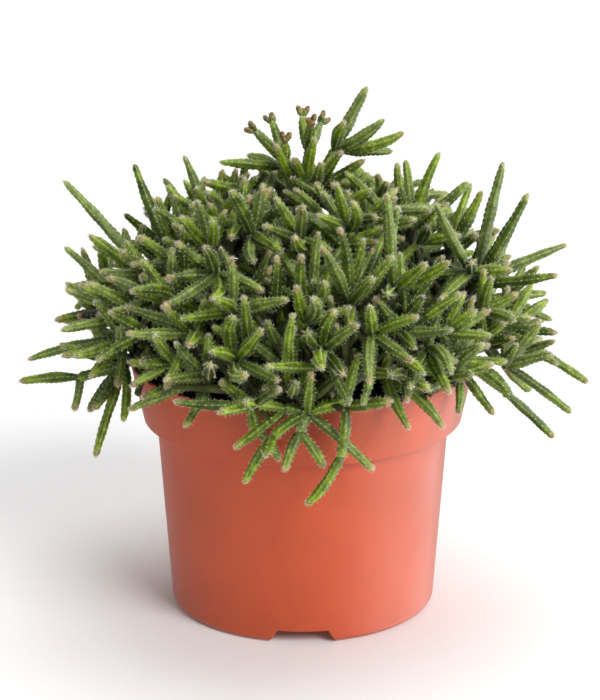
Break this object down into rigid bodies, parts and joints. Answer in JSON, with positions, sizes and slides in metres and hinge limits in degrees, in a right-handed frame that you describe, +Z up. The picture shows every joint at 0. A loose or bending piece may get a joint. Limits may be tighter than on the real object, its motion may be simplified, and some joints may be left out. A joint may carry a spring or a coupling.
{
  "type": "potted mistletoe cactus",
  "caption": "Mistletoe cactus in a pot: a dense dome of thin, ribbed, bristly green stems that fork in whorls, rising from dark soil in a tapered terracotta-coloured plastic nursery pot.",
  "frame": {"origin": "on the ground under the middle of the pot", "axes": "+Z up; -Y is the side that the picture shows, with one of the foot's notches; +X to the right of that side"},
  "size_m": [0.197, 0.192, 0.1833],
  "materials": {
    "pot": "satin",
    "soil": "matte",
    "stems": "satin"
  },
  "bodies": {
    "root": {"pot": "pot", "soil": "soil", "shoot_crown": "stems", "shoot_front_base": "stems", "shoot_back_long": "stems", "shoot_upper_left": "stems", "shoot_left_fan": "stems", "shoot_left_high": "stems", "shoot_left": "stems", "shoot_left_low": "stems", "shoot_left_trailer": "stems", "shoot_rim_left": "stems", "shoot_front_trailer": "stems", "shoot_front_long": "stems", "shoot_front_thin": "stems", "shoot_rim_right": "stems", "shoot_right_trailer": "stems", "shoot_right_low": "stems", "shoot_right": "stems", "shoot_right_high": "stems", "shoot_upper_right": "stems", "shoot_right_fan": "stems", "shoot_front_left_high": "stems", "shoot_front_left": "stems", "shoot_front_left_low": "stems", "shoot_front_star": "stems", "shoot_front_middle": "stems", "shoot_front_right": "stems", "shoot_front_right_low": "stems", "shoot_front_right_high": "stems", "shoot_back_low_1": "stems", "shoot_back_low_2": "stems", "shoot_back_low_3": "stems", "shoot_back_low_4": "stems", "shoot_back_low_5": "stems", "shoot_back_middle_1": "stems", "shoot_back_middle_2": "stems", "shoot_back_middle_3": "stems", "shoot_back_middle_4": "stems", "shoot_top_1": "stems", "shoot_top_2": "stems", "shoot_top_3": "stems", "shoot_top_4": "stems", "shoot_top_5": "stems"}
  },
  "joints": []
}
